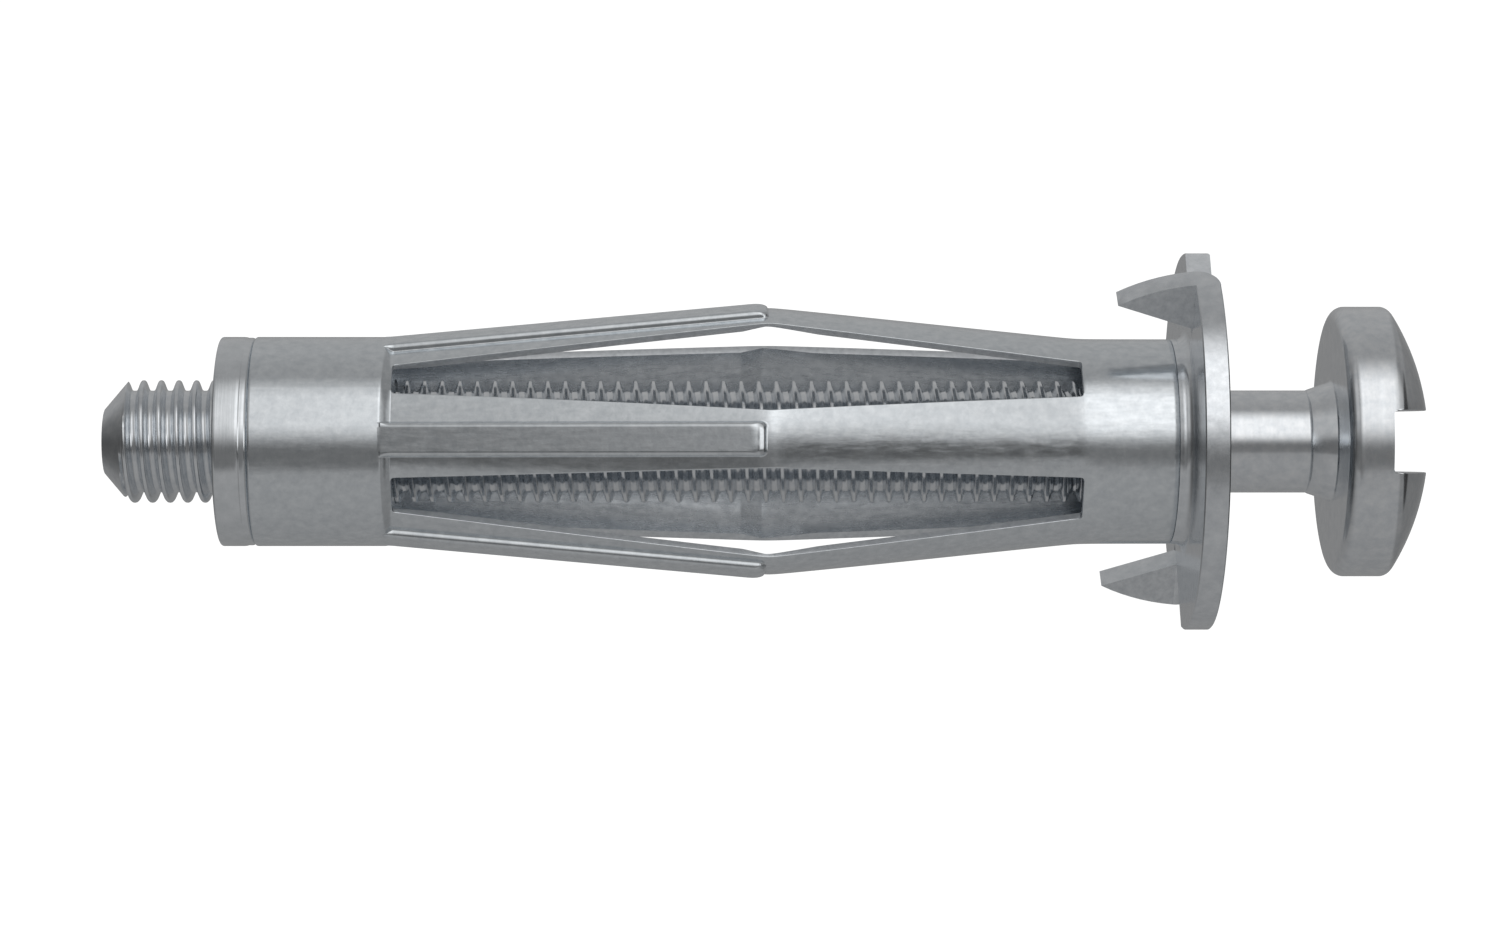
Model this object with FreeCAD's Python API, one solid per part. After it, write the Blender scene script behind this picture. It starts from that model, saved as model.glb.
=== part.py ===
import FreeCAD, Part
import math
import os

os.makedirs("parts", exist_ok=True)

Vector = FreeCAD.Vector

# Hollow-wall anchor: a slotted steel sleeve between a clawed flange and a threaded nut, with its screw.
# Sizes are in millimetres. The axis is X, the screw's head is at +X and the origin is the centre of
# the flange's underside, the face that meets the wall. A turn is an angle in degrees about X,
# counted from the side that faces -Y upwards.

# Sleeve: one tube, slotted into legs that stand out a little at the knee
tube_diameter = 10.0
sleeve_wall = 0.38
collar_stand_out = 0.1
flank_coining = 0.15
knee_stand_out = 1.56
collar_length = 6.3
shoulder_length = 0.53
nose_leg_length = 18.13
head_leg_length = 14.92
tube_length = 4.68
leg_count = 5
leg_turn = 13.1
nose_slot_width = 2.02
knee_slot_width = 5.24
head_slot_width = 2.22
slot_corner_radius = 0.15
knee_bend_radius = 0.9
sleeve_end_chamfer = 0.12

# Ribs: a raised flat-topped bead along each leg's nose half
rib_width = 1.71
rib_height = 0.235
rib_side_slope = 0.745
rib_end_slope = 3.0
rib_corner_radius = 0.3
rib_end_gap = 0.1
rib_embed = 0.15
rib_start_overlap = 0.7

# Nut: a turned bush with a ring at the nose and a spigot in the sleeve's collar
nut_ring_width = 1.51
nut_edge_chamfer = 0.1
nut_groove_chamfer = 0.14
nut_spigot_setback = 0.05
bore_mouth_chamfer = 0.3
running_clearance = 0.05

# Flange: a disc pressed from sheet, with a drawn neck and two claws bent out of it
flange_diameter = 18.4
flange_thickness = 1.2
neck_length = 0.7
neck_root_fillet = 0.2
neck_spigot_length = 2.5
flange_bore_clearance = 0.3
flange_edge_break = 0.06
claw_count = 2
claw_turn = 66.5
claw_sector = 30.0
claw_root_margin = 1.2

# Screw: slotted raised cheese head, plain shank, coarse thread left as its outer cylinder
thread_diameter = 6.0
screw_length = 60.0
thread_length = 50.0
shank_diameter = 5.0
tip_diameter = 3.2
tip_chamfer_length = 1.22
head_diameter = 13.2
head_side_height = 2.62
dome_radius = 11.74
head_under_bevel = 0.36
head_top_round = 0.55
under_head_cone_diameter = 5.9
under_head_cone_length = 1.4
driver_slot_width = 2.9
driver_slot_floor = 1.99
driver_slot_turn = 12.0
head_gap = 6.0

# Radii that follow from the sizes above
tube_radius = tube_diameter / 2
sleeve_bore_radius = tube_radius - sleeve_wall
collar_radius = tube_radius + collar_stand_out
leg_root_radius = tube_radius - flank_coining
knee_radius = tube_radius + knee_stand_out
flange_radius = flange_diameter / 2
claw_root_radius = tube_radius + claw_root_margin
thread_radius = thread_diameter / 2
shank_radius = shank_diameter / 2
nut_bore_radius = thread_radius + running_clearance
flange_bore_radius = thread_radius + flange_bore_clearance
head_radius = head_diameter / 2

# Places along the axis that follow from the sizes above
tube_end = -neck_length
head_root = tube_end - tube_length
knee_place = head_root - head_leg_length
nose_root = knee_place - nose_leg_length
collar_end = nose_root - shoulder_length
sleeve_start = collar_end - collar_length
nose_face = sleeve_start - nut_ring_width
head_under = flange_thickness + head_gap
head_side_end = head_under + head_side_height
screw_tip = head_under - screw_length
thread_end = screw_tip + thread_length

axis = Vector(1, 0, 0)
origin = Vector(0, 0, 0)
full_turn = 360
leg_pitch = full_turn / leg_count


def outward(turn):
    """The unit vector that points out of the axis at a turn."""
    angle = math.radians(turn)
    return Vector(0, -math.cos(angle), math.sin(angle))


def sideways(turn):
    """The unit vector round the axis at a turn, the way in which turns grow."""
    angle = math.radians(turn)
    return Vector(0, math.sin(angle), math.cos(angle))


def corner_cut(before, corner, after, radius):
    """Where a rounding starts, the middle of its arc, and where it ends, in the plane of the outline."""
    back = Vector(before[0] - corner[0], before[1] - corner[1], 0).normalize()
    ahead = Vector(after[0] - corner[0], after[1] - corner[1], 0).normalize()
    point = Vector(corner[0], corner[1], 0)
    half_angle = back.getAngle(ahead) / 2
    reach = radius / math.tan(half_angle)
    depth = radius / math.sin(half_angle) - radius
    middle = point + (back + ahead).normalize() * depth
    return point + back * reach, middle, point + ahead * reach


def outline(corners, place):
    """A closed wire through corners (u, v), or (u, v, radius) if rounded; place gives each its point."""
    count = len(corners)
    stops = []
    for index, corner in enumerate(corners):
        if len(corner) == 3:
            cut = corner_cut(corners[index - 1], corner, corners[(index + 1) % count], corner[2])
        else:
            cut = (Vector(corner[0], corner[1], 0),)
        stops.append([place(point.x, point.y) for point in cut])
    edges = []
    for index, stop in enumerate(stops):
        if len(stop) == 3:
            edges.append(Part.Arc(*stop).toShape())
        edges.append(Part.LineSegment(stop[-1], stops[(index + 1) % count][0]).toShape())
    return Part.Wire(edges)


def turned(corners):
    """The solid made by turning a closed outline of (along, radius) corners about the axis."""
    wire = outline(corners, lambda along, radius: Vector(along, 0, radius))
    return Part.Face(wire).revolve(origin, axis, full_turn)


def patterned(shape, count):
    """Copies of a shape, evenly spaced round the axis."""
    copies = []
    for index in range(count):
        copy = shape.copy()
        copy.rotate(origin, axis, index * full_turn / count)
        copies.append(copy)
    return copies


def slot_punch(turn):
    """The punch for one slot: an outline that is widest at the knee, driven straight out of the axis."""
    inside = sleeve_bore_radius / 2
    outside = 2 * knee_radius
    across = sideways(turn)
    wire = outline([
        (nose_root, -nose_slot_width / 2, slot_corner_radius),
        (knee_place, -knee_slot_width / 2, knee_bend_radius),
        (head_root, -head_slot_width / 2, slot_corner_radius),
        (head_root, head_slot_width / 2, slot_corner_radius),
        (knee_place, knee_slot_width / 2, knee_bend_radius),
        (nose_root, nose_slot_width / 2, slot_corner_radius),
    ], lambda along, side: axis * along + across * side + outward(turn) * inside)
    return Part.Face(wire).extrude(outward(turn) * (outside - inside))


def rib(turn):
    """One rib: two outlines parallel to the leg, joined by sloping sides."""
    slope = math.atan2(knee_radius - leg_root_radius, nose_leg_length)
    along_leg = axis * math.cos(slope) + outward(turn) * math.sin(slope)
    off_leg = outward(turn) * math.cos(slope) - axis * math.sin(slope)
    across = sideways(turn)
    root = axis * nose_root + outward(turn) * leg_root_radius
    leg_run = nose_leg_length / math.cos(slope)

    def level(height):
        half_width = rib_width / 2 - rib_side_slope * height
        end = leg_run - rib_end_gap - rib_end_slope * height
        return outline([
            (-rib_start_overlap, -half_width),
            (end, -half_width, rib_corner_radius),
            (end, half_width, rib_corner_radius),
            (-rib_start_overlap, half_width),
        ], lambda run, side: root + along_leg * run + across * side + off_leg * height)

    return Part.makeLoft([level(-rib_embed), level(rib_height)], True, True)


def make_sleeve():
    """The slotted tube: a turned outline, slots punched through it and ribs raised on its legs."""
    slope = math.atan2(knee_stand_out, head_leg_length)
    knee_bore_radius = knee_radius - sleeve_wall / math.cos(slope)
    body = turned([
        (sleeve_start, sleeve_bore_radius),
        (sleeve_start, collar_radius - sleeve_end_chamfer),
        (sleeve_start + sleeve_end_chamfer, collar_radius),
        (collar_end, collar_radius),
        (nose_root, leg_root_radius),
        (knee_place, knee_radius),
        (head_root, tube_radius),
        (tube_end, tube_radius),
        (tube_end, sleeve_bore_radius),
        (head_root, sleeve_bore_radius),
        (knee_place, knee_bore_radius),
        (nose_root, sleeve_bore_radius),
    ])
    slots = patterned(slot_punch(leg_turn + leg_pitch / 2), leg_count)
    ribs = patterned(rib(leg_turn), leg_count)
    return body.cut(Part.Compound(slots)).fuse(ribs).removeSplitter()


def make_nut():
    """The threaded bush: ring against the sleeve's end, spigot inside its collar, bore for the screw."""
    spigot_end = nose_root - nut_spigot_setback
    return turned([
        (nose_face, nut_bore_radius + bore_mouth_chamfer),
        (nose_face, collar_radius - nut_edge_chamfer),
        (nose_face + nut_edge_chamfer, collar_radius),
        (sleeve_start - nut_groove_chamfer, collar_radius),
        (sleeve_start, collar_radius - nut_groove_chamfer),
        (sleeve_start, sleeve_bore_radius),
        (spigot_end - nut_edge_chamfer, sleeve_bore_radius),
        (spigot_end, sleeve_bore_radius - nut_edge_chamfer),
        (spigot_end, nut_bore_radius),
        (nose_face + bore_mouth_chamfer, nut_bore_radius),
    ])


def claw(turn):
    """One claw: sheet bent square about the line at its turn, standing towards the nose."""
    out = outward(turn)
    across = sideways(turn)
    neutral_bend = math.pi / 4 * flange_thickness
    tip_along = neutral_bend - flange_radius * math.sin(math.radians(claw_sector))
    tip_radius = flange_radius * math.cos(math.radians(claw_sector))
    far_radius = 2 * flange_radius

    def strip(start):
        corners = [
            axis * start,
            axis * start + across * flange_thickness,
            axis * tip_along + across * flange_thickness,
            axis * tip_along,
            axis * start,
        ]
        return Part.Face(Part.makePolygon(corners)).extrude(out * flange_radius)

    bend = Part.makeCylinder(flange_thickness, flange_radius, origin, out)
    bent = bend.fuse(strip(0)).common(strip(flange_thickness))
    side = Part.makePolygon([
        axis * flange_thickness + out * claw_root_radius,
        axis * tip_along + out * tip_radius,
        axis * tip_along + out * far_radius,
        axis * flange_thickness + out * far_radius,
        axis * flange_thickness + out * claw_root_radius,
    ])
    between_cuts = Part.Face(side).extrude(across * flange_thickness)
    rim = Part.makeCylinder(flange_radius, flange_thickness, axis * neutral_bend, across)
    return bent.common(between_cuts).common(rim)


def claw_gap(turn):
    """The part of the disc that the claw was bent out of."""
    tip_turn = turn + claw_sector
    far_radius = 2 * flange_radius
    corners = [
        outward(turn) * claw_root_radius,
        outward(tip_turn) * flange_radius,
        outward(tip_turn) * far_radius,
        outward(turn) * far_radius,
        outward(turn) * claw_root_radius,
    ]
    return Part.Face(Part.makePolygon(corners)).extrude(axis * flange_thickness)


def make_flange():
    """The flange: disc and stepped neck turned in one, two sectors cut free and bent into claws."""
    spigot_start = tube_end - neck_spigot_length
    body = turned([
        (spigot_start, flange_bore_radius),
        (spigot_start, sleeve_bore_radius - flange_edge_break),
        (spigot_start + flange_edge_break, sleeve_bore_radius),
        (tube_end, sleeve_bore_radius),
        (tube_end, tube_radius),
        (-neck_root_fillet, tube_radius),
        (0, tube_radius + neck_root_fillet),
        (0, flange_radius - flange_edge_break),
        (flange_edge_break, flange_radius),
        (flange_thickness - flange_edge_break, flange_radius),
        (flange_thickness, flange_radius - flange_edge_break),
        (flange_thickness, flange_bore_radius),
    ])
    gaps = patterned(claw_gap(claw_turn), claw_count)
    claws = patterned(claw(claw_turn), claw_count)
    return body.cut(Part.Compound(gaps)).fuse(claws).removeSplitter()


def make_screw():
    """The screw: tip, thread, shank, cone and crowned head turned in one, then slotted for the driver."""
    crown_centre = head_side_end - math.sqrt(dome_radius ** 2 - head_radius ** 2)
    head_top = crown_centre + dome_radius
    rim_centre_radius = head_radius - head_top_round
    rim_angle = math.asin(rim_centre_radius / (dome_radius - head_top_round))
    rim_centre = crown_centre + (dome_radius - head_top_round) * math.cos(rim_angle)
    rim_middle = (rim_angle + math.pi / 2) / 2

    def at(along, radius):
        return Vector(along, 0, radius)

    def on_arc(centre, centre_radius, reach, angle):
        return at(centre + reach * math.cos(angle), centre_radius + reach * math.sin(angle))

    tip_to_rim = Part.makePolygon([
        at(head_top, 0),
        at(screw_tip, 0),
        at(screw_tip, tip_diameter / 2),
        at(screw_tip + tip_chamfer_length, thread_radius),
        at(thread_end, thread_radius),
        at(thread_end + thread_radius - shank_radius, shank_radius),
        at(head_under - under_head_cone_length, shank_radius),
        at(head_under, under_head_cone_diameter / 2),
        at(head_under, head_radius - head_under_bevel),
        at(head_under + head_under_bevel, head_radius),
        at(rim_centre, head_radius),
    ])
    rim_round = Part.Arc(
        at(rim_centre, head_radius),
        on_arc(rim_centre, rim_centre_radius, head_top_round, rim_middle),
        on_arc(rim_centre, rim_centre_radius, head_top_round, rim_angle),
    )
    crown = Part.Arc(
        on_arc(crown_centre, 0, dome_radius, rim_angle),
        on_arc(crown_centre, 0, dome_radius, rim_angle / 2),
        at(head_top, 0),
    )
    edges = tip_to_rim.Edges + [rim_round.toShape(), crown.toShape()]
    blank = Part.Face(Part.Wire(edges)).revolve(origin, axis, full_turn)

    out = outward(driver_slot_turn)
    half_width = sideways(driver_slot_turn) * (driver_slot_width / 2)
    floor = axis * (head_under + driver_slot_floor)
    above = axis * (2 * head_top)
    section = Part.Face(Part.makePolygon([
        floor - half_width,
        floor + half_width,
        above + half_width,
        above - half_width,
        floor - half_width,
    ]))
    section.translate(out * -head_diameter)
    return blank.cut(section.extrude(out * (2 * head_diameter)))


pieces = {
    "sleeve": make_sleeve(),
    "nut": make_nut(),
    "clawed_flange": make_flange(),
    "screw": make_screw(),
}

for name, shape in pieces.items():
    solid = shape.Solids[0] if len(shape.Solids) == 1 else shape
    solid.exportStep(os.path.join("parts", name + ".step"))
    box = solid.BoundBox
    print(name, "solids", len(shape.Solids), "valid", shape.isValid(), "volume", round(solid.Volume, 2),
          "along", round(box.XMin, 3), round(box.XMax, 3), "height", round(box.ZMin, 3), round(box.ZMax, 3))
print("slots from", round(nose_root, 3), "over", round(knee_place, 3), "to", round(head_root, 3))
print("sleeve starts", round(sleeve_start, 3), "nose face", round(nose_face, 3))
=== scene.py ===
import math
import bmesh
import bpy
import numpy as np
from mathutils import Matrix, Vector


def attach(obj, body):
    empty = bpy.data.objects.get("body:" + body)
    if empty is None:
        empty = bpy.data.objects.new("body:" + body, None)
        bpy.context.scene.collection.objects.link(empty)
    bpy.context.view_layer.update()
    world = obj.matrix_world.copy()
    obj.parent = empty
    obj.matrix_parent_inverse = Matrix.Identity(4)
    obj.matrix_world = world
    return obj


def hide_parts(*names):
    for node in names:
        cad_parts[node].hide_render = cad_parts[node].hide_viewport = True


# A hollow-wall anchor of zinc-plated steel: screw, slotted sleeve, nut and clawed flange.
# Lengths are in millimetres up to the moment a mesh is made. A turn is an angle in degrees round the
# X axis, counted from the side that faces -Y upwards. The screw's head is at +X.

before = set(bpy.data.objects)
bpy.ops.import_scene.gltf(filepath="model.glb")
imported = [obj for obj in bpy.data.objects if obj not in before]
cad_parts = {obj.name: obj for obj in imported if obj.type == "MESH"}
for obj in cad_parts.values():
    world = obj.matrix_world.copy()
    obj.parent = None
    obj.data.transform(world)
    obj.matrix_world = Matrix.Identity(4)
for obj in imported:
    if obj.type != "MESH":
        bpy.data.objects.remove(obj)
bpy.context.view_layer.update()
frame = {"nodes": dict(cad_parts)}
print("frame loaded:", ", ".join(frame["nodes"]))

millimetre = 0.001
hair = 1e-6  # less than any real length, for telling rows and columns apart


def outward(turn):  # the unit vector out of the axis at a turn: (0, -cos turn, sin turn)
    angle = np.radians(turn)
    return np.stack([np.zeros_like(angle), -np.cos(angle), np.sin(angle)], axis=-1)


def polar(along, radius, turn):  # points at (along, radius x outward(turn)), for whole arrays at once
    along, radius, turn = np.broadcast_arrays(along, radius, turn)
    points = outward(turn.astype(float)) * radius[..., None]
    points[..., 0] = along
    return points


def gridFaces(rows, columns, start):  # the quads between neighbouring rows and columns of one grid
    row, column = np.meshgrid(np.arange(rows - 1), np.arange(columns - 1), indexing="ij")
    first = (start + row * columns + column).ravel()
    return np.stack([first, first + columns, first + columns + 1, first + 1], axis=-1)


meshing = {"weld": 2e-7, "sliver": 1e-8, "sharpDegrees": 32}  # the first two in metres


# Grids of points whose edges meet become one closed mesh. A grid faces rows x columns: one whose rows
# run along +X and whose columns run with the turn faces out of the axis.
def makeMesh(name, grids, slots=None):
    points = np.concatenate([grid.reshape(-1, 3) for grid in grids]) * millimetre
    starts = np.cumsum([0] + [grid.shape[0] * grid.shape[1] for grid in grids])
    faces = np.concatenate([gridFaces(grid.shape[0], grid.shape[1], start) for grid, start in zip(grids, starts)])
    mesh = bpy.data.meshes.new(name)
    mesh.vertices.add(len(points))
    mesh.vertices.foreach_set("co", points.ravel())
    mesh.loops.add(faces.size)
    mesh.loops.foreach_set("vertex_index", faces.ravel())
    mesh.polygons.add(len(faces))
    mesh.polygons.foreach_set("loop_start", np.arange(0, faces.size, 4))
    if slots:
        counts = [(grid.shape[0] - 1) * (grid.shape[1] - 1) for grid in grids]
        mesh.polygons.foreach_set("material_index", np.repeat(slots, counts))
    mesh.update(calc_edges=True)
    build = bmesh.new()
    build.from_mesh(mesh)
    bmesh.ops.remove_doubles(build, verts=build.verts, dist=meshing["weld"])
    bmesh.ops.dissolve_degenerate(build, edges=build.edges, dist=meshing["sliver"])
    build.to_mesh(mesh)
    build.free()
    mesh.polygons.foreach_set("use_smooth", np.ones(len(mesh.polygons), bool))
    mesh.set_sharp_from_angle(angle=math.radians(meshing["sharpDegrees"]))
    return mesh


def standFor(node, body, mesh, *materials):  # a piece that takes the place of a CAD node and rides with its body
    piece = bpy.data.objects.new(mesh.name, mesh)
    bpy.context.scene.collection.objects.link(piece)
    for material in materials:
        mesh.materials.append(material)
    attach(piece, body)
    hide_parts(node)
    print(mesh.name, "has", len(mesh.polygons), "faces")
    return piece


fullTurn = np.linspace(0, 360, 145)  # the columns of a piece that is alike all round


def lathe(profile, turns):  # a profile of (along, radius) rows carried round the axis
    profile = np.array(profile, float)
    return polar(profile[:, :1], profile[:, 1:], turns[None, :])


# Rows on an arc: centre + size x (cos, sin), where 0 degrees points along +X and 90 degrees out of the
# axis.
def arcRows(centreAlong, centreRadius, size, startDegrees, endDegrees, steps):
    angle = np.radians(np.linspace(startDegrees, endDegrees, steps))
    return list(zip(centreAlong + size * np.cos(angle), centreRadius + size * np.sin(angle)))


def softMax(first, second, width):  # the larger of two, rounded where they meet: (a + b + root((a-b)^2 + w^2)) / 2
    return (first + second + np.sqrt((first - second) ** 2 + width ** 2)) / 2


def softMin(first, second, width):  # the smaller of two, rounded in the same way
    return -softMax(-first, -second, width)


# Finishes

# An sRGB hex colour as linear red, green, blue and alpha: ((value + 0.055) / 1.055)^2.4 for each
# channel, and value / 12.92 where it is very dark.
def linear(hexColour):
    channels = [int(hexColour[start:start + 2], 16) / 255 for start in (1, 3, 5)]
    return [value / 12.92 if value <= 0.04045 else ((value + 0.055) / 1.055) ** 2.4 for value in channels] + [1]


def addNode(tree, kind, settings=None, inputs=None, links=None):  # one node with its settings, values and links
    node = tree.nodes.new(kind)
    for name, value in (settings or {}).items():
        setattr(node, name, value)
    for name, value in (inputs or {}).items():
        node.inputs[name].default_value = value
    for name, socket in (links or {}).items():
        tree.links.new(socket, node.inputs[name])
    return node


noiseSpan = (0.3, 0.7)  # nearly all of a noise's values lie between these


# Bright zinc plate on steel is a blue-white metal. What sets the pieces apart is how each was made
# before plating, so one finish takes the marks of the process: their size in millimetres (blotch), how
# many there are per millimetre along X, Y and Z (markScale), and their depth in millimetres.
def zincPlate(look):
    material = bpy.data.materials.new(look["name"])
    material.use_nodes = True
    tree = material.node_tree
    tree.nodes.clear()
    place = addNode(tree, "ShaderNodeTexCoord").outputs["Object"]
    perMillimetre = addNode(tree, "ShaderNodeMapping", inputs={"Scale": [1 / millimetre] * 3},
                            links={"Vector": place}).outputs["Vector"]

    # blotches of the plating bath, a few tenths of a millimetre to a millimetre across
    blotches = addNode(tree, "ShaderNodeTexNoise",
                       inputs={"Scale": 1 / look["blotch"], "Detail": 5, "Roughness": 0.6},
                       links={"Vector": perMillimetre}).outputs["Fac"]
    # marks of the tool, drawn out along the way in which the metal ran through it
    marksPlace = addNode(tree, "ShaderNodeMapping", inputs={"Scale": look["markScale"]},
                         links={"Vector": perMillimetre}).outputs["Vector"]
    marks = addNode(tree, "ShaderNodeTexNoise", inputs={"Scale": 1, "Detail": 3, "Roughness": 0.55},
                    links={"Vector": marksPlace}).outputs["Fac"]

    tint = addNode(tree, "ShaderNodeValToRGB", links={"Fac": blotches})
    for element, level, name in zip(tint.color_ramp.elements, noiseSpan, ("shade", "colour")):
        element.position = level
        element.color = linear(look[name])
    gloss = addNode(tree, "ShaderNodeMapRange",
                    inputs={"From Min": noiseSpan[0], "From Max": noiseSpan[1],
                            "To Min": look["roughness"][0], "To Max": look["roughness"][1]},
                    links={"Value": marks}).outputs["Result"]
    dents = addNode(tree, "ShaderNodeBump", inputs={"Strength": 1, "Distance": look["blotchDepth"] * millimetre},
                    links={"Height": blotches}).outputs["Normal"]
    lines = addNode(tree, "ShaderNodeBump", inputs={"Strength": 1, "Distance": look["markDepth"] * millimetre},
                    links={"Height": marks, "Normal": dents}).outputs["Normal"]
    shader = addNode(tree, "ShaderNodeBsdfPrincipled", inputs={"Metallic": 1},
                     links={"Base Color": tint.outputs["Color"], "Roughness": gloss, "Normal": lines})
    addNode(tree, "ShaderNodeOutputMaterial", links={"Surface": shader.outputs["BSDF"]})
    return material


finishes = {
    # rolled thread and turned shank: smooth, with faint marks round the axis
    "screw": {"name": "zinc_plated_rolled_steel", "colour": "#eef0f2", "shade": "#dadee2",
              "roughness": (0.14, 0.22), "blotch": 0.5, "blotchDepth": 0.0005,
              "markScale": (4, 0.4, 0.4), "markDepth": 0.0002},
    # drawn tube, folded and slotted: faintly mottled, with scratches along the legs
    "sleeve": {"name": "zinc_plated_drawn_steel", "colour": "#ecf0f3", "shade": "#d8dde1",
               "roughness": (0.11, 0.24), "blotch": 0.45, "blotchDepth": 0.0025,
               "markScale": (0.8, 5, 5), "markDepth": 0.002},
    # edges that the slotting tool sheared: dull and torn across the wall
    "cut": {"name": "zinc_plated_sheared_steel", "colour": "#e8ebee", "shade": "#d0d4d8",
            "roughness": (0.3, 0.45), "blotch": 0.3, "blotchDepth": 0.01,
            "markScale": (6, 6, 6), "markDepth": 0.006},
    # the sleeve's bore: its greyer colour is painted shade for the dim inside of the sleeve, and it is duller
    "bore": {"name": "zinc_plated_steel_bore_painted_shade", "colour": "#e0e4e8", "shade": "#c3c8cd",
             "roughness": (0.18, 0.32), "blotch": 0.45, "blotchDepth": 0.004,
             "markScale": (0.8, 5, 5), "markDepth": 0.002},
    # turned nut: fine circular marks of the cutting tool
    "nut": {"name": "zinc_plated_turned_steel", "colour": "#edf0f3", "shade": "#dce0e3",
            "roughness": (0.1, 0.22), "blotch": 0.8, "blotchDepth": 0.002,
            "markScale": (14, 0.2, 0.2), "markDepth": 0.003},
    # flange pressed from sheet: an even satin with a fine grain
    "flange": {"name": "zinc_plated_pressed_steel", "colour": "#edf0f3", "shade": "#dadee2",
               "roughness": (0.12, 0.24), "blotch": 0.6, "blotchDepth": 0.003,
               "markScale": (3, 3, 3), "markDepth": 0.003},
}
plated = {piece: zincPlate(look) for piece, look in finishes.items()}
print("finishes made:", len(plated))

# Screw

screwSize = {
    "tip": -52.6, "tipRadius": 1.6, "tipRise": 1.17,  # the tip cone rises this much per millimetre
    "threadRadius": 3.0, "rootRadius": 2.475, "pitch": 0.855, "crestAlong": -49.03, "crestTurn": 102,
    "crestFlat": 0.22, "flank": 2.9, "crestSoften": 0.12, "rootSoften": 0.1,
    "firstTurn": -51.7, "firstRun": 0.2,  # the groove begins here, so the tip cone has none
    "runOutStart": -3.3, "runOutEnd": -2.3,
    "shankRadius": 2.5, "coneStart": 5.97, "coneRadius": 2.95, "turnedGroove": 0.02,
    "headUnder": 7.2, "headRadius": 6.6, "underRound": 0.62, "bandStart": 9.0,
    "domeCentre": 0.111, "domeRadius": 11.74, "rimRound": 0.55, "rimCentre": 9.525,
    "slotTurn": 12, "slotHalf": 1.49, "slotFloor": 9.3, "slotDraft": 0.03, "floorFillet": 0.14, "slotEdge": 0.07,
    # the grid's columns across the slot's floor, then its steps from slot to rim, along the slot and up the
    # band, and the short row that keeps a rounding's shading off the long face beside it
    "floorColumns": (0, 0.45, 0.9), "rimColumns": 20, "slotRows": 43, "bandRows": 4, "guard": 0.1,
}
# the rows of one turn of thread, as shares of the pitch from its crest: close where the section bends
threadPhases = (0, 0.08, 0.14, 0.2, 0.28, 0.345, 0.42, 0.58, 0.655, 0.72, 0.8, 0.86, 0.92)


# The thread's radius: threadRadius - flank x distance from the crest's edge, held between rootRadius
# and threadRadius, so that crest, straight flank and root are each rounded into the next.
def threadRadiusAt(along, turn, size):
    crests = (along - size["crestAlong"]) / size["pitch"] + (turn - size["crestTurn"]) / 360
    fromCrest = np.abs(crests - np.round(crests)) * size["pitch"]
    flank = size["threadRadius"] - size["flank"] * (fromCrest - size["crestFlat"] / 2)
    return softMin(softMax(flank, size["rootRadius"], size["rootSoften"]), size["threadRadius"], size["crestSoften"])


# Rows follow the thread's own helix, along = crestAlong + (whole turns + phase) x pitch - pitch x (turn -
# crestTurn) / 360, so that crests and roots are lines of the grid. Each is cut off at the thread's two
# ends, where rows fall together and are merged.
def threadGrid(start, end, turns, size, phases):
    pitch = size["pitch"]
    lead = pitch * (turns - size["crestTurn"]) / 360
    first = math.floor((start + lead.min() - size["crestAlong"]) / pitch) - 1
    last = math.ceil((end + lead.max() - size["crestAlong"]) / pitch) + 1
    rows = (np.arange(first, last)[:, None] + np.array(phases)[None, :]).ravel()
    along = size["crestAlong"] + rows[:, None] * pitch - lead[None, :]
    along = np.clip(along, start, end)
    return along, threadRadiusAt(along, turns[None, :], size)


# The head's top is a grid over the slot's own directions: across the slot, and along it from rim to
# rim. Its height is a sphere, domeCentre + root(domeRadius^2 - reach^2), with a rounded rim, cut down to
# the floor inside the slot.
def headTopHeight(across, reach, size):
    outside, rimRound, slotEdge = size["headRadius"], size["rimRound"], size["slotEdge"]
    sphere = size["domeCentre"] + np.sqrt(size["domeRadius"] ** 2 - np.minimum(reach, outside) ** 2)
    rimReach = np.clip(reach - (outside - rimRound), 0, rimRound)
    rim = size["rimCentre"] + np.sqrt(np.maximum(rimRound ** 2 - rimReach ** 2, 0))
    rimStart = (outside - rimRound) * size["domeRadius"] / (size["domeRadius"] - rimRound)
    top = np.where(reach < rimStart, sphere, rim)
    side = np.abs(across)
    toEdge = np.clip((size["slotHalf"] + slotEdge - side) / slotEdge, 0, 1)
    top = top - slotEdge * (1 - np.sqrt(1 - toEdge ** 2))
    floorFlat = size["slotHalf"] - size["slotDraft"] - size["floorFillet"]
    toWall = np.clip((side - floorFlat) / size["floorFillet"], 0, 1)
    floor = size["slotFloor"] + size["floorFillet"] * (1 - np.sqrt(1 - toWall ** 2))
    return np.where(side < size["slotHalf"] - hair, floor, top)


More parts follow.
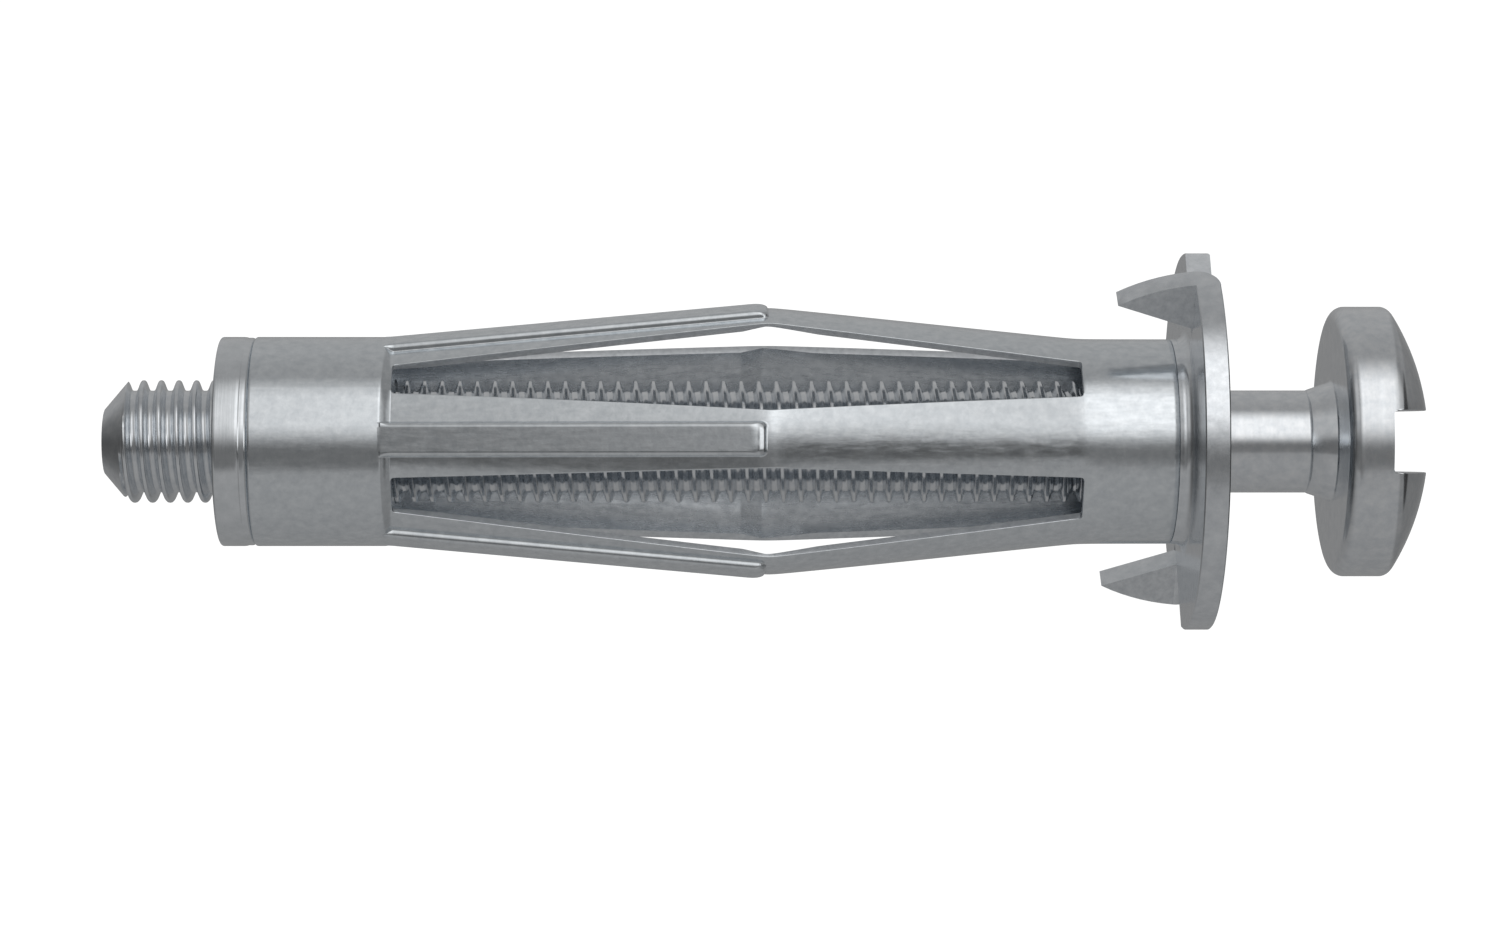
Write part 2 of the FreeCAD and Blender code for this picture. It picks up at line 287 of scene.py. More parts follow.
# The screw is one closed skin of five grids: tip, thread, neck, the head's band and its top. All share
# the turns at which the top's own lines meet the rim, slotTurn + arcsin(across / headRadius), and each but
# the top carries a radius round the axis.
def screwGrids(size):
    outside, slotTurn = size["headRadius"], size["slotTurn"]
    floorHalf = size["slotHalf"] - size["slotDraft"]
    wallAcross = floorHalf - size["floorFillet"] * np.array([1, 0.6, 0.25, 0])
    edgeAcross = size["slotHalf"] + size["slotEdge"] * np.array([0, 0.1, 0.4, 1])
    outerStart = math.degrees(math.asin(edgeAcross[-1] / outside))
    outerAcross = outside * np.sin(np.radians(np.linspace(outerStart, 90, size["rimColumns"])[1:]))
    right = np.concatenate([size["floorColumns"], wallAcross, edgeAcross, outerAcross])
    across = np.concatenate([-right[:0:-1], right])
    rising = np.degrees(np.arcsin(np.clip(across / outside, -1, 1)))
    turns = slotTurn + np.concatenate([rising, 180 - rising[-2::-1]])

    alongSlot = np.sin(np.linspace(-math.pi / 2, math.pi / 2, size["slotRows"]))
    length = np.sqrt(np.maximum(outside ** 2 - across ** 2, 0))
    forward = alongSlot[None, :] * length[:, None]
    side = np.broadcast_to(across[:, None], forward.shape)
    top = forward[..., None] * outward(np.array(slotTurn)) + side[..., None] * outward(np.array(slotTurn + 90))
    top[..., 0] = headTopHeight(side, np.hypot(forward, side), size)

    loopAcross = np.concatenate([across, across[-2::-1]])
    loopHeight = headTopHeight(loopAcross, np.full_like(loopAcross, outside), size)
    steps = np.linspace(0, 1, size["bandRows"])[:, None]
    bandAlong = size["bandStart"] * (1 - steps) + loopHeight[None, :] * steps
    band = polar(bandAlong, np.array(outside), turns[None, :])

    tip = lathe([(size["tip"], 0), (size["tip"], size["tipRadius"])], turns)
    along, radius = threadGrid(size["tip"], size["runOutEnd"], turns, size, threadPhases)
    tipCone = size["tipRadius"] + size["tipRise"] * (along - size["tip"])
    toFull = np.clip((along - size["firstTurn"]) / size["firstRun"], 0, 1)
    radius = np.maximum(radius, size["threadRadius"] - (size["threadRadius"] - size["rootRadius"]) * toFull)
    fade = np.clip((size["runOutEnd"] - along) / (size["runOutEnd"] - size["runOutStart"]), 0, 1)
    radius = np.minimum(size["shankRadius"] + (radius - size["shankRadius"]) * fade, tipCone)
    thread = polar(along, radius, turns[None, :])

    # shank, fine groove, cone, fine groove, the head's underside and its rounded edge
    groove, guard, shank = size["turnedGroove"], size["guard"], size["shankRadius"]
    cone, coneRadius, under, underRound = size["coneStart"], size["coneRadius"], size["headUnder"], size["underRound"]
    neck = lathe([
        (size["runOutEnd"], shank),
        (size["runOutEnd"] + guard, shank),
        (cone - 4 * groove, shank),
        (cone - 2 * groove, shank),
        (cone, shank - groove),
        (cone + 2 * groove, shank + groove),
        (cone + 4 * groove, shank + 2 * groove),
        (under - 5 * groove, coneRadius - 2 * groove),
        (under - 2 * groove, coneRadius - groove),
        (under, coneRadius + 2 * groove),
        (under, coneRadius + guard),
        (under, outside - underRound - guard),
        *arcRows(under + underRound, outside - underRound, underRound, 180, 90, 10),
        (under + underRound + guard, outside),
        (size["bandStart"], outside),
    ], turns)
    return [tip, thread, neck, band, top]


standFor("screw", "screw", makeMesh("machine_screw", screwGrids(screwSize)), plated["screw"])

# Sleeve

sleeveSize = {
    "start": -45.26, "collarEnd": -38.96, "noseRoot": -38.43, "knee": -20.3, "headRoot": -5.28, "end": -0.7,
    "collarRadius": 5.1, "rootRadius": 4.85, "kneeRadius": 6.56, "tubeRadius": 5.0, "boreRadius": 4.62, "wall": 0.38,
    "kneeBend": 0.36, "headBend": 0.5, "startRound": 0.11, "endRound": 0.1, "boreSoften": 0.02,
    "legs": 5, "legTurn": 13.1,  # the turn of the middle of the first leg
    # half a slot's width at the nose's root, the knee and the head's root
    "slotHalf": (1.01, 2.645, 1.11), "slotCorner": 0.15, "slotBend": 0.25, "slotTaper": 0.08, "cutRound": 0.04,
    # how many degrees an edge lies outside its even place at the same three places, for the leg's number
    # and its side (1 with the turn, -1 against it), since the real slots are a little askew
    "edgeShift": {(0, 1): (3.6, 0, 1.5), (0, -1): (-1.7, 0, -1.7), (4, 1): (2.5, 0, 0), (3, -1): (0, 1.6, 0)},
    "ribBase": 0.855, "ribHeight": 0.31, "ribSide": 0.175, "ribEndRun": 0.486, "ribCorner": 0.3,
    "ribEnds": (-20.45, -20.26, -20.4, -20.35, -20.42),  # each leg's own, as the press left them
    "ribRound": 0.27, "ribFullness": 0.9, "ribFoot": 0.03, "ribFootRise": 0.12, "ribStartRun": 0.07,
    "kneeThin": 0.2, "thinPlace": -20.5, "thinRun": (1.1, 2.6),  # the fold draws the wall thinner
    # rows as (from, to, how many), close together where the rib ends at the knee, and columns from the
    # rib's middle to its foot and a little beyond, close together on its rounded edge
    "collarRows": (-44.6, -39.3, 9), "shoulderGuard": -39.05, "shoulderRows": 8, "guard": 0.04,
    "legRows": ((-38.03, -24, 30), (-23.6, -22, 6), (-21.8, -20.1, 30), (-20, -18, 12), (-17.4, -7.5, 18),
                (-7, -5.68, 5)),
    "tubeRows": (-5.1, -1, 10),
    "ribColumns": (0, 0.25, 0.45, 0.57, 0.6, 0.64, 0.68, 0.72, 0.755, 0.785, 0.808, 0.822, 0.829, 0.84, 0.855, 0.9,
                   0.95),
    "flankColumns": 4, "flankGuard": 1.7, "webColumns": 7,
}


# A line that changes its slope at a place, rounded inside its corner: with x counted from the place,
# mean slope x + half the change in slope root(x^2 + width^2).
def bend(along, place, before, after, width):
    x = along - place
    return (before + after) / 2 * x + (after - before) / 2 * np.sqrt(x ** 2 + width ** 2)


# Outer radius of a leg away from its rib: collar, shoulder, straight rise to the knee, straight fall
# to the plain tube.
def legRadius(along, size):
    rise = (size["kneeRadius"] - size["rootRadius"]) / (size["knee"] - size["noseRoot"])
    fall = (size["tubeRadius"] - size["kneeRadius"]) / (size["headRoot"] - size["knee"])
    line = size["kneeRadius"] + bend(along, size["knee"], rise, fall, size["kneeBend"])
    toTube = softMax(line, size["tubeRadius"], size["headBend"] * abs(fall))
    line = np.where(along > size["knee"], toTube, line)
    shoulder = np.clip((along - size["collarEnd"]) / (size["noseRoot"] - size["collarEnd"]), 0, 1)
    shoulder = shoulder ** 2 * (3 - 2 * shoulder)
    return np.where(along < size["noseRoot"],
                    size["collarRadius"] + (size["rootRadius"] - size["collarRadius"]) * shoulder, line)


def ribPlane(along, size):  # the rib's flat top rises in one line to the knee
    rise = (size["kneeRadius"] - size["rootRadius"]) / (size["knee"] - size["noseRoot"])
    return size["kneeRadius"] + size["ribHeight"] + rise * (along - size["knee"])


# The inside keeps the wall: legRadius - wall / cos(slope), but thinner at the fold, and never less than
# the one bore of collar and tube.
def boreRadius(along, size):
    slope = (size["kneeRadius"] - size["tubeRadius"]) / (size["headRoot"] - size["knee"])
    before, after = size["thinRun"]
    fromFold = along - size["thinPlace"]
    thin = size["kneeThin"] * np.clip(1 - np.where(fromFold < 0, -fromFold / before, fromFold / after), 0, 1)
    inside = legRadius(along, size) - size["wall"] * math.hypot(1, slope) + thin
    return softMax(inside, size["boreRadius"], size["boreSoften"])


# How far up the rib's edge a point lies: 0 at its foot, 1 where the plane side of the solid model ends.
# On the sides and on the end this is the distance from the foot over the run of that face. In a corner,
# with a and b counted from the corner's centre, (a + ribSide q)^2 + (b + ribEndRun q)^2 = ribCorner^2
# gives the level q.
def ribLevel(side, along, end, size):
    bySide = (size["ribBase"] - side) / size["ribSide"]
    byEnd = (end - along) / size["ribEndRun"]
    a = side - size["ribBase"] + size["ribCorner"]
    b = along - end + size["ribCorner"]
    square = size["ribSide"] ** 2 + size["ribEndRun"] ** 2
    mixed = size["ribSide"] * a + size["ribEndRun"] * b
    root = np.maximum(mixed ** 2 - square * (a ** 2 + b ** 2 - size["ribCorner"] ** 2), 0)
    byCorner = (-mixed + np.sqrt(root)) / square
    level = np.minimum(bySide, byEnd)
    inCorner = (a + size["ribSide"] * byCorner > 0) & (b + size["ribEndRun"] * byCorner > 0)
    return np.where(inCorner, np.minimum(level, byCorner), level)


# The rib's section from its foot inwards: a small fillet, then a quarter round up to the flat top.
def ribRise(level, size):
    run = np.clip(level * size["ribSide"], 0, size["ribRound"])
    fillet = np.clip(run / size["ribFoot"], 0, 1) ** 2 * size["ribFootRise"]
    inwards = np.clip((size["ribRound"] - run) / (size["ribRound"] - size["ribFoot"]), 0, 1)
    roundUp = size["ribFootRise"] + (1 - size["ribFootRise"]) * np.sqrt(1 - inwards ** 2) ** size["ribFullness"]
    return np.where(run < size["ribFoot"], fillet, roundUp)


# Half a slot's width: straight from each root to the widest place at the knee, and less by a quarter
# circle's rise, corner - root(corner^2 - left^2), where it ends.
def slotHalfWidth(along, size):
    nose, knee, head = size["slotHalf"]
    toKnee = (knee - nose) / (size["knee"] - size["noseRoot"])
    toHead = (head - knee) / (size["headRoot"] - size["knee"])
    half = knee + bend(along, size["knee"], toKnee, toHead, size["slotBend"])
    fromRoot = np.minimum(along - size["noseRoot"], size["headRoot"] - along)
    left = np.clip(size["slotCorner"] - fromRoot, 0, size["slotCorner"])
    return half - (size["slotCorner"] - np.sqrt(size["slotCorner"] ** 2 - left ** 2))


# Rows of the sleeve are places along the axis, and columns are turns from the middle of a leg. A leg's
# point lies radius x sin(turn) to its side and radius x cos(turn) out of the axis, and the rib lifts it
# from there. Between the legs a web closes the collar and the tube.
def sleeveGrids(size):
    corner, cut = size["slotCorner"], size["cutRound"]
    nose, knee, head = size["noseRoot"], size["knee"], size["headRoot"]
    startRound, endRound = size["startRound"], size["endRound"]
    intoSlot = [0.15 * corner, 0.5 * corner, corner]
    collar = [row[0] for row in arcRows(size["start"] + startRound, 0, startRound, 180, 90, 4)]
    collar += [size["start"] + startRound + size["guard"], *np.linspace(*size["collarRows"]), size["shoulderGuard"]]
    collar += [*np.linspace(size["collarEnd"], nose - cut, size["shoulderRows"]), nose - 0.3 * cut]
    legs = [nose, *[nose + step for step in intoSlot]]
    legs += [place for rows in size["legRows"] for place in np.linspace(*rows)]
    legs += [*[head - step for step in intoSlot[::-1]], head]
    tube = [head + 0.3 * cut, head + cut, *np.linspace(*size["tubeRows"])]
    tube += [row[0] for row in arcRows(size["end"] - endRound, 0, endRound, 90, 0, 4)]
    along = np.array(collar + legs + tube)
    firstLeg, lastLeg = len(collar), len(collar) + len(legs) - 1

    radius = legRadius(along, size)
    startDrop = np.clip(size["start"] + startRound - along, 0, startRound)
    endDrop = np.clip(along - size["end"] + endRound, 0, endRound)
    radius = radius - startRound + np.sqrt(startRound ** 2 - startDrop ** 2)
    radius = radius - endRound + np.sqrt(endRound ** 2 - endDrop ** 2)
    bore = boreRadius(along, size)

    betweenLegs = 360 / size["legs"]
    slotHalf = slotHalfWidth(np.clip(along, nose, head), size)
    outerEdge = betweenLegs / 2 - np.degrees(np.arcsin(slotHalf / radius))
    innerEdge = betweenLegs / 2 - np.degrees(np.arcsin((slotHalf - size["slotTaper"]) / bore))
    toNose = np.clip((knee - along) / (knee - nose), 0, 1)
    toHead = np.clip((along - knee) / (head - knee), 0, 1)
    fixedTurn = np.degrees(np.arcsin(np.array(size["ribColumns"])[None, :] / radius[:, None]))
    cutTurn = np.degrees(cut / radius)[:, None]
    spread = np.linspace(0, 1, size["flankColumns"] + 1)[None, 1:]
    slotSteps = np.linspace(0, 1, size["webColumns"])[None, :]
    pastCollar = np.clip((along - size["collarEnd"]) / size["ribStartRun"], 0, 1)

    # the rounding of the slots' edges, on the legs' last columns and on the web's last rows
    overEdge = np.array([0, 0.5, 0.85, 1])
    roundOff = np.zeros(len(size["ribColumns"]) + size["flankColumns"] + len(overEdge))
    roundOff[-len(overEdge):] = cut * (1 - np.sqrt(1 - overEdge ** 2))
    roundOff = np.concatenate([roundOff[:0:-1], roundOff])
    inSlot = (along >= nose - hair) & (along <= head + hair)
    legOuter = radius[:, None] - roundOff[None, :] * inSlot[:, None]
    toCut = np.clip(1 - np.maximum(nose - along, along - head) / cut, 0, 1)
    webOuter = (radius - cut * (1 - np.sqrt(1 - toCut ** 2)))[:, None]
    nearSlot = (along < nose + hair) & (along > nose - 2 * cut) | (along > head - hair) & (along < head + 2 * cut)

    # where an edge lies from its leg's middle, outside and inside, and the columns up to it: fixed
    # places on and beside the rib, the rest spread out to the cut edge
    def edgeOf(leg, side):
        atNose, atKnee, atHead = size["edgeShift"].get((leg % size["legs"], side), (0, 0, 0))
        shift = atNose * toNose + atHead * toHead + atKnee * (1 - toNose - toHead)
        outerPlace, innerPlace = (outerEdge + shift)[:, None], (innerEdge + shift)[:, None]
        last = fixedTurn[:, -1:]
        columns = np.concatenate([fixedTurn, last + (outerPlace - size["flankGuard"] * cutTurn - last) * spread,
                                  outerPlace - cutTurn * (1 - overEdge)[None, :]], axis=1)
        return outerPlace, innerPlace, columns

    skin, sheared, inside = 0, 1, 2  # the sleeve's three finishes
    grids, slots = [], []
    for index, ribEnd in enumerate(size["ribEnds"]):
        turn = size["legTurn"] + index * betweenLegs
        upper, upperInner, upperColumns = edgeOf(index, 1)
        lower, lowerInner, lowerColumns = edgeOf(index, -1)
        nextLower, nextInner = edgeOf(index + 1, -1)[:2]
        legTurns = np.concatenate([-lowerColumns[:, :0:-1], upperColumns], axis=1)
        innerTurns = np.where(legTurns < 0, legTurns * lowerInner / lower, legTurns * upperInner / upper)
        slotTurns = upper * (1 - slotSteps) + (betweenLegs - nextLower) * slotSteps
        innerSlotTurns = upperInner * (1 - slotSteps) + (betweenLegs - nextInner) * slotSteps

        # each point of a leg lies so far out and so far to its side; the rib lifts it to one flat height
        sideways = legOuter * np.sin(np.radians(legTurns))
        flank = legOuter * np.cos(np.radians(legTurns))
        for edge in (0, -1):
            scale = np.where(nearSlot, webOuter[:, 0] / legOuter[:, edge], 1)
            flank[:, edge] *= scale
            sideways[:, edge] *= scale
        overFlank = np.maximum(ribPlane(along, size)[:, None] - flank, 0) * pastCollar[:, None]
        out = flank + ribRise(ribLevel(np.abs(sideways), along[:, None], ribEnd, size), size) * overFlank
        outer = out[..., None] * outward(np.array(turn)) + sideways[..., None] * outward(np.array(turn + 90.0))
        outer[..., 0] = along[:, None]
        inner = polar(along[:, None], bore[:, None], innerTurns + turn)
        web = polar(along[:, None], webOuter, slotTurns + turn)
        innerWeb = polar(along[:, None], bore[:, None], innerSlotTurns + turn)
        cutRows = slice(firstLeg, lastLeg + 1)
        grids += [outer, inner[::-1]]
        grids += [web[:firstLeg + 1], web[lastLeg:], innerWeb[:firstLeg + 1][::-1], innerWeb[lastLeg:][::-1]]
        grids.append(np.stack([outer[cutRows, -1], inner[cutRows, -1]], axis=1))
        grids.append(np.stack([inner[cutRows, 0], outer[cutRows, 0]], axis=1))
        grids.append(np.stack([web[firstLeg], innerWeb[firstLeg]]))
        grids.append(np.stack([innerWeb[lastLeg], web[lastLeg]]))
        for outerPart, innerPart in ((outer, inner), (web, innerWeb)):
            grids.append(np.stack([innerPart[0], outerPart[0]]))
            grids.append(np.stack([outerPart[-1], innerPart[-1]]))
        slots += [skin, inside, skin, skin, inside, inside] + [sheared] * 4 + [skin] * 4
    return grids, slots


standFor("sleeve", "anchor", makeMesh("slotted_sleeve", *sleeveGrids(sleeveSize)),
         plated["sleeve"], plated["cut"], plated["bore"])

# Nut

nutSize = {
    "face": -46.94, "ringEnd": -45.26, "spigotEnd": -38.48, "ringRadius": 5.1, "spigotRadius": 4.61,
    "faceRound": 0.14, "guard": 0.04, "spigotChamfer": 0.1, "mouth": 0.3, "clearance": 0.05,
    "threadEnd": -41.0, "threadFade": 0.3,  # beyond it the bore is plain, so the screw's tip is free in it
    # the ring's far edge: how far before its end, and how far it has fallen there
    "edge": ((0.6, 0), (0.55, 0.001), (0.5, 0.006), (0.45, 0.013), (0.41, 0.018), (0.385, 0.034), (0.37, 0.038),
             (0.33, 0.0385), (0.16, 0.0395), (0.11, 0.05), (0.07, 0.075), (0.03, 0.12), (0, 0.19)),
}


# The nut's outside is a profile carried round the axis. Its bore is the screw's own thread, wider by the
# clearance: a cone at the mouth, and bore = thread + (plain bore - thread) x share beyond threadEnd.
def nutGrids(size, thread):
    face, rounding, chamfer = size["face"], size["faceRound"], size["spigotChamfer"]
    bore = thread["threadRadius"] + size["clearance"]
    body = lathe([
        (face, bore + size["mouth"]),
        *arcRows(face + rounding, size["ringRadius"] - rounding, rounding, 180, 90, 6),
        (face + rounding + size["guard"], size["ringRadius"]),
        *[(size["ringEnd"] - before, size["ringRadius"] - fallen) for before, fallen in size["edge"]],
        (size["ringEnd"], size["spigotRadius"]),
        (size["spigotEnd"] - chamfer, size["spigotRadius"]),
        (size["spigotEnd"], size["spigotRadius"] - chamfer),
        (size["spigotEnd"], bore),
    ], fullTurn)
    along, radius = threadGrid(face, size["spigotEnd"], fullTurn, thread, threadPhases[::2])
    mouth = bore + size["mouth"] - (along - face)
    radius = np.maximum(radius + size["clearance"], mouth)
    toEnd = np.clip((along - size["threadEnd"]) / size["threadFade"], 0, 1)
    radius = radius + (bore - radius) * toEnd
    bored = polar(along, radius, fullTurn[None, :])
    return [body, bored[::-1]]


standFor("nut", "anchor", makeMesh("threaded_nut", nutGrids(nutSize, screwSize)), plated["nut"])

# Flange: the solid's own faces, merged and with their edges broken as a press leaves them

flangeSize = {
    "weld": 1e-6, "flatDegrees": 0.5,  # facets that meet at less than this are one face; the weld is in metres
    "edge": 0.04, "segments": 2, "sharpDegrees": 30, "evenWeight": 90,
    # the draw leaves a hollow round between neck and disc: a ring whose section starts so many times the
    # fillet before the disc, inside the neck and on it, and sinks a little into both
    "neckRadius": 5.004, "neckFillet": 0.45, "filletStart": (1.3, 1.25), "inside": 0.1, "sunk": 0.02,
    "clawAlong": -0.02, "clawRadius": 5.6, "sheetFacing": 0.7,  # beyond these lies claw, dull where it was sheared
}


def filletGrid(size):  # the ring's closed section: up the neck, round the hollow to the disc, and back inside both
    rounding, neck, sunk = size["neckFillet"], size["neckRadius"], size["sunk"]
    inner = neck - size["inside"]
    innerStart, outerStart = [-times * rounding for times in size["filletStart"]]
    return lathe([
        (innerStart, inner),
        (outerStart, neck),
        *arcRows(-rounding, neck + rounding, rounding, 270, 360, 9),
        (sunk, neck + rounding),
        (sunk, inner),
        (innerStart, inner),
    ], fullTurn)


flangeMesh = bpy.data.objects["clawed_flange"].data.copy()
flangeMesh.name = "clawed_flange_plated"
flangeMesh.materials.clear()
build = bmesh.new()
build.from_mesh(flangeMesh)
bmesh.ops.remove_doubles(build, verts=build.verts, dist=flangeSize["weld"])
bmesh.ops.dissolve_limit(build, angle_limit=math.radians(flangeSize["flatDegrees"]),
                         verts=build.verts, edges=build.edges)
fillet = makeMesh("neck_fillet", [filletGrid(flangeSize)])
build.from_mesh(fillet)
bpy.data.meshes.remove(fillet)
build.to_mesh(flangeMesh)
build.free()
flangeMesh.polygons.foreach_set("use_smooth", np.ones(len(flangeMesh.polygons), bool))
centres = np.array([face.center for face in flangeMesh.polygons]) / millimetre
normals = np.array([face.normal for face in flangeMesh.polygons])
fromAxis = np.hypot(centres[:, 1], centres[:, 2])
isClaw = (centres[:, 0] < flangeSize["clawAlong"]) & (fromAxis > flangeSize["clawRadius"])
# facing is 1 where a face looks at the axis or away from it: |normal . centre| / centre's distance
facing = np.abs((normals[:, 1:] * centres[:, 1:]).sum(axis=1)) / fromAxis
isSheared = isClaw & (facing < flangeSize["sheetFacing"])
flangeMesh.polygons.foreach_set("material_index", isSheared.astype(int))
flange = standFor("clawed_flange", "anchor", flangeMesh, plated["flange"], plated["cut"])
brokenEdges = flange.modifiers.new("broken_edges", "BEVEL")
brokenEdges.width = flangeSize["edge"] * millimetre
brokenEdges.segments = flangeSize["segments"]
brokenEdges.angle_limit = math.radians(flangeSize["sharpDegrees"])
evenNormals = flange.modifiers.new("even_normals", "WEIGHTED_NORMAL")
evenNormals.weight = flangeSize["evenWeight"]

# Floor, light and camera

studio = {
    "floorDrop": 9.16, "floorSize": 1200, "floorColour": "#f6f6f6", "floorGlow": 1.2, "floorMatt": 0.15,
    "light": 0.875, "highest": 5, "bounces": 10,
    "viewTurn": 12, "sway": 0.93, "target": -20.906, "distance": 209,
    "lens": 101.85, "sensor": 36, "shift": -34.5 / 1512, "nearest": 0.01,  # the shift is a share of the width
}

floorMesh = bpy.data.meshes.new("floor")
reach = studio["floorSize"] * millimetre / 2
drop = -studio["floorDrop"] * millimetre
floorMesh.from_pydata([(-reach, -reach, drop), (reach, -reach, drop), (reach, reach, drop), (-reach, reach, drop)],
                      [], [(0, 1, 2, 3)])
floor = bpy.data.objects.new("floor", floorMesh)
bpy.context.scene.collection.objects.link(floor)
floor.visible_glossy = False

paper = bpy.data.materials.new("white_paper")  # an even white sheet that is lit from all round
paper.use_nodes = True
paper.node_tree.nodes.clear()
glow = addNode(paper.node_tree, "ShaderNodeEmission",
               inputs={"Color": linear("#ffffff"), "Strength": studio["floorGlow"]})
matt = addNode(paper.node_tree, "ShaderNodeBsdfDiffuse", inputs={"Color": linear(studio["floorColour"])})
mixed = addNode(paper.node_tree, "ShaderNodeMixShader", inputs={0: studio["floorMatt"]},
                links={1: glow.outputs[0], 2: matt.outputs[0]})
addNode(paper.node_tree, "ShaderNodeOutputMaterial", links={"Surface": mixed.outputs[0]})
floorMesh.materials.append(paper)

# The studio is all round the object: a broad soft box above the camera, a small one low at the head's
# side, a table whose dark edge lies just below the camera, and grey walls that are darker at the back.
# Each list is (direction, level). Along lists go along X from -1 at the nose to 1 at the head, the
# others round the X axis in degrees upwards from the camera's own turn. The dip says how many degrees
# the whole room is let down from its highest place, and the squeeze how much narrower the table is.
room = {
    "dipAlong": [(-1, 0), (-0.24, 0), (-0.19, 5), (0.12, 5), (0.26, 2.5), (0.34, 5), (0.4, 8), (1, 8)],
    "squeezeAlong": [(-1, 1), (0, 1), (0.1, 1.15), (0.25, 1.6), (1, 1.6)],
    "table": [(-180, 0), (-34, 0), (-28, 1), (-7, 1), (4, 0.1), (14, 0), (180, 0)],
    "tableAlong": [(-1, 0.48), (-0.3, 0.5), (-0.2, 0.7), (-0.14, 0.48), (0.1, 0.46), (0.125, 0.25), (0.145, 0.25),
                   (0.16, 0.5), (0.2, 0.66), (0.4, 0.66), (1, 0.48)],
    "walls": [(-180, 0.28), (-160, 0.3), (-110, 0.34), (-55, 0.385), (-30, 0.37), (0, 0.34), (14, 0.36), (74, 0.37),
              (117, 0.45), (150, 0.45), (168, 0.35), (180, 0.28)],
    "wallsAlong": [(-1, 0.28), (-0.9, 0.4), (-0.7, 0.85), (-0.4, 1), (0.3, 1), (0.5, 0.72), (0.84, 0.72),
                   (0.9, 0.15), (1, 0.15)],
    "softBox": [(-180, 0), (-6, 0), (2, 0.22), (8, 0.62), (18, 1), (50, 1), (62, 0.5), (74, 0), (180, 0)],
    "softBoxAlong": [(-1, 0), (-0.82, 0.02), (-0.68, 0.25), (-0.46, 0.25), (-0.32, 0.08), (-0.24, 0.12),
                     (-0.2, 0.23), (-0.1, 0.52), (0.05, 0.92), (0.14, 1.05), (0.25, 0.48), (0.6, 0.3),
                     (0.86, 0.22), (0.93, 0), (1, 0)],
    "sideBox": [(-180, 0), (-8, 0), (-2, 1), (16, 1), (26, 0), (180, 0)],
    "sideBoxAlong": [(-1, 0), (0.3, 0), (0.4, 0.8), (0.88, 0.8), (0.97, 0), (1, 0)],
}
world = bpy.data.worlds.new("studio")
bpy.context.scene.world = world
world.use_nodes = True
tree = world.node_tree
tree.nodes.clear()
askedAt, levelOf = {}, {}
for name, stops in room.items():  # one ramp for each list, from its first direction to its last
    low, high = stops[0][0], stops[-1][0]
    share = addNode(tree, "ShaderNodeMapRange", inputs={"From Min": low, "From Max": high})
    ramp = addNode(tree, "ShaderNodeValToRGB", links={"Fac": share.outputs["Result"]})
    elements = ramp.color_ramp.elements
    for index, (place, level) in enumerate(stops):
        element = elements[index] if index < 2 else elements.new((place - low) / (high - low))
        element.position = (place - low) / (high - low)
        element.color = (level, level, level, 1)
    askedAt[name], levelOf[name] = share.inputs["Value"], ramp.outputs["Color"]

# height = a direction's turn round the X axis - the camera's turn - the highest place + the dip
way = addNode(tree, "ShaderNodeSeparateXYZ", links={0: addNode(tree, "ShaderNodeTexCoord").outputs["Generated"]})
toFront = addNode(tree, "ShaderNodeMath", {"operation": "MULTIPLY"}, {1: -1}, {0: way.outputs["Y"]})
turned = addNode(tree, "ShaderNodeMath", {"operation": "ARCTAN2"}, links={0: way.outputs["Z"], 1: toFront.outputs[0]})
fromCamera = addNode(tree, "ShaderNodeMath", {"operation": "MULTIPLY_ADD"},
                     {1: 180 / math.pi, 2: -studio["viewTurn"] - studio["highest"]}, {0: turned.outputs[0]})
dipped = addNode(tree, "ShaderNodeMath", {"operation": "ADD"},
                 links={0: fromCamera.outputs[0], 1: levelOf["dipAlong"]})
height = addNode(tree, "ShaderNodeMath", {"operation": "WRAP"}, {1: 180, 2: -180}, {0: dipped.outputs[0]})
squeezed = addNode(tree, "ShaderNodeMath", {"operation": "MULTIPLY"},
                   links={0: height.outputs[0], 1: levelOf["squeezeAlong"]})
for name in room:
    tree.links.new(way.outputs["X"] if name.endswith("Along") else height.outputs[0], askedAt[name])
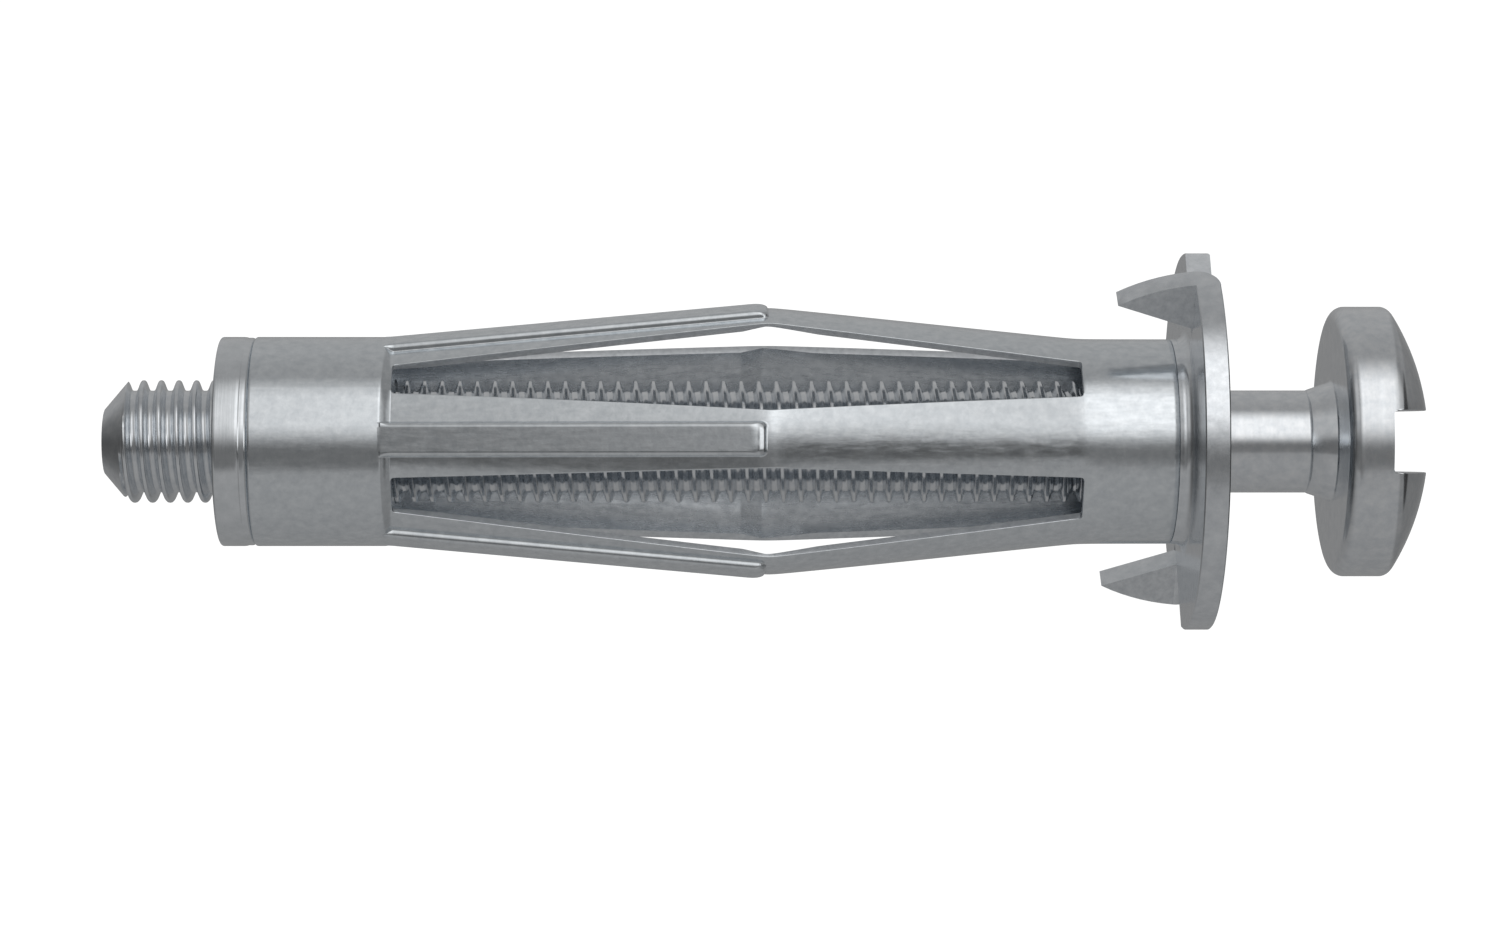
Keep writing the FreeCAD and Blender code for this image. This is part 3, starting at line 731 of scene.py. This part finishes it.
tree.links.new(squeezed.outputs[0], askedAt["table"])
# brightness = walls x (1 - table) + soft box + side box
parts = {}
for name in ("walls", "table", "softBox", "sideBox"):
    parts[name] = addNode(tree, "ShaderNodeMath", {"operation": "MULTIPLY"},
                          links={0: levelOf[name], 1: levelOf[name + "Along"]}).outputs[0]
clear = addNode(tree, "ShaderNodeMath", {"operation": "SUBTRACT"}, {0: 1}, {1: parts["table"]})
behindTable = addNode(tree, "ShaderNodeMath", {"operation": "MULTIPLY"},
                      links={0: parts["walls"], 1: clear.outputs[0]})
boxes = addNode(tree, "ShaderNodeMath", {"operation": "ADD"}, links={0: parts["softBox"], 1: parts["sideBox"]})
brightness = addNode(tree, "ShaderNodeMath", {"operation": "ADD"},
                     links={0: behindTable.outputs[0], 1: boxes.outputs[0]})
dimmed = addNode(tree, "ShaderNodeMath", {"operation": "MULTIPLY"}, {1: studio["light"]}, {0: brightness.outputs[0]})
background = addNode(tree, "ShaderNodeBackground", inputs={"Color": (1, 1, 1, 1)},
                     links={"Strength": dimmed.outputs[0]})
addNode(tree, "ShaderNodeOutputWorld", links={"Surface": background.outputs[0]})

# The camera looks across the X axis, a little from the nose's side, and keeps the axis level.
scene = bpy.context.scene
scene.view_settings.view_transform = "Standard"
scene.cycles.glossy_bounces = studio["bounces"]  # light finds its way into the slots over many bounces
cameraData = bpy.data.cameras.new("camera")
cameraData.lens = studio["lens"]
cameraData.sensor_width = studio["sensor"]
cameraData.shift_y = studio["shift"]
cameraData.clip_start = studio["nearest"]
camera = bpy.data.objects.new("camera", cameraData)
scene.collection.objects.link(camera)
target = Vector((studio["target"] * millimetre, 0, 0))
sway = math.radians(studio["sway"])
sight = Vector(outward(np.array(float(studio["viewTurn"])))) * math.cos(sway) - Vector((math.sin(sway), 0, 0))
across = (Vector((1, 0, 0)) - sight * sight.x).normalized()
camera.location = target + sight * studio["distance"] * millimetre
camera.rotation_euler = Matrix((across, sight.cross(across), sight)).transposed().to_euler()
scene.camera = camera
print("floor, light and camera set")
